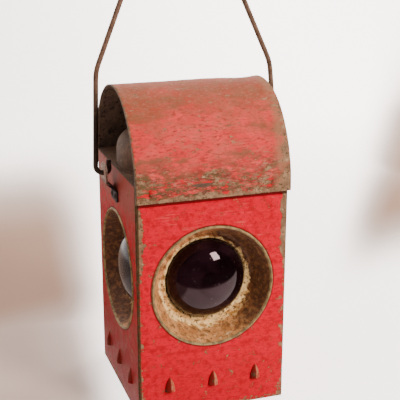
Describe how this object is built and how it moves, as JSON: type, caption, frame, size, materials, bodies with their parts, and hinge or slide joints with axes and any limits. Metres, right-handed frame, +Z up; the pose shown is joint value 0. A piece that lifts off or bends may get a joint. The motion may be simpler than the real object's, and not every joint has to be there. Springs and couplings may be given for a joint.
{
  "type": "railway lantern",
  "caption": "Square sheet-steel oil lantern with a hinged barrel hood, wire bail and four recessed bull's-eye lenses, two red and two clear.",
  "frame": {"origin": "centre of the underside of the body", "axes": "+Z up, -Y out of the front face with the red lens, +X to the right as seen from the front"},
  "size_m": [0.1952, 0.1701, 0.4852],
  "materials": {
    "red_enamel": "weathered satin paint",
    "bare_steel": "rusted and stained",
    "pan_steel": "rusted tinned steel",
    "sooty_steel": "sooty and rusted",
    "ruby_glass": "pressed, polished",
    "clear_glass": "pressed, polished",
    "wire_steel": "rusted wire",
    "brass": "dull, aged",
    "tinplate": "dull tinned sheet",
    "wick_cotton": "woven",
    "washer_cork": "dull"
  },
  "bodies": {
    "body": {"body_shell": "red_enamel", "base_pan": "bare_steel", "font_seat": "tinplate", "lens_pan_front": "pan_steel", "lens_pan_rear": "pan_steel", "lens_pan_left": "pan_steel", "lens_pan_right": "pan_steel", "lens_front": "ruby_glass", "lens_rear": "ruby_glass", "lens_left": "clear_glass", "lens_right": "clear_glass", "lens_ring_front": "pan_steel", "lens_ring_rear": "pan_steel", "lens_ring_left": "pan_steel", "lens_ring_right": "pan_steel", "ear_left": "bare_steel", "ear_right": "bare_steel", "ear_rivets": "bare_steel", "hinge_leaf_body": "bare_steel", "hinge_pin": "bare_steel", "hinge_rivets": "bare_steel"},
    "hood": {"hood_shell": "red_enamel", "lid_pan": "sooty_steel", "inner_dome": "sooty_steel", "hood_rivets": "bare_steel", "hinge_leaf_hood": "bare_steel"},
    "bail": {"bail_wire": "wire_steel"},
    "font": {"font_tank": "tinplate", "font_collar": "brass", "filler_neck": "brass", "burner_body": "brass", "wick_tube": "brass", "burner_cone": "brass"},
    "wick_raiser": {"raiser_spindle": "brass", "raiser_knob": "brass"},
    "wick": {"wick": "wick_cotton"},
    "filler_cap": {"filler_cap": "brass", "cap_washer": "washer_cork"}
  },
  "joints": [
    {"name": "bail_swing", "type": "hinge", "parent": "body", "child": "bail", "pos_m": [0, 0, 0.233], "axis": [1, 0, 0], "range_deg": [-129, 141]},
    {"name": "hood_hinge", "type": "hinge", "parent": "body", "child": "hood", "pos_m": [0, 0.0842, 0.219], "axis": [-1, 0, 0], "range_deg": [0, 25]},
    {"name": "font_lift", "type": "slide", "parent": "body", "child": "font", "axis": [0, 0, 1], "range_m": [0, 0.06]},
    {"name": "filler_cap_pull", "type": "slide", "parent": "font", "child": "filler_cap", "axis": [0, 0, 1], "range_m": [0, 0.012]},
    {"name": "wick_raiser_turn", "type": "hinge", "parent": "font", "child": "wick_raiser", "pos_m": [0, 0.0038, 0.0902], "axis": [1, 0, 0], "range_deg": [-110, 110]},
    {"name": "wick_slide", "type": "slide", "parent": "font", "child": "wick", "axis": [0, 0, 1], "range_m": [-0.0056, 0.0056]}
  ],
  "couplings": [
    {"joint": "wick_slide", "follows": "wick_raiser_turn", "m_per_rad": -0.0028}
  ]
}
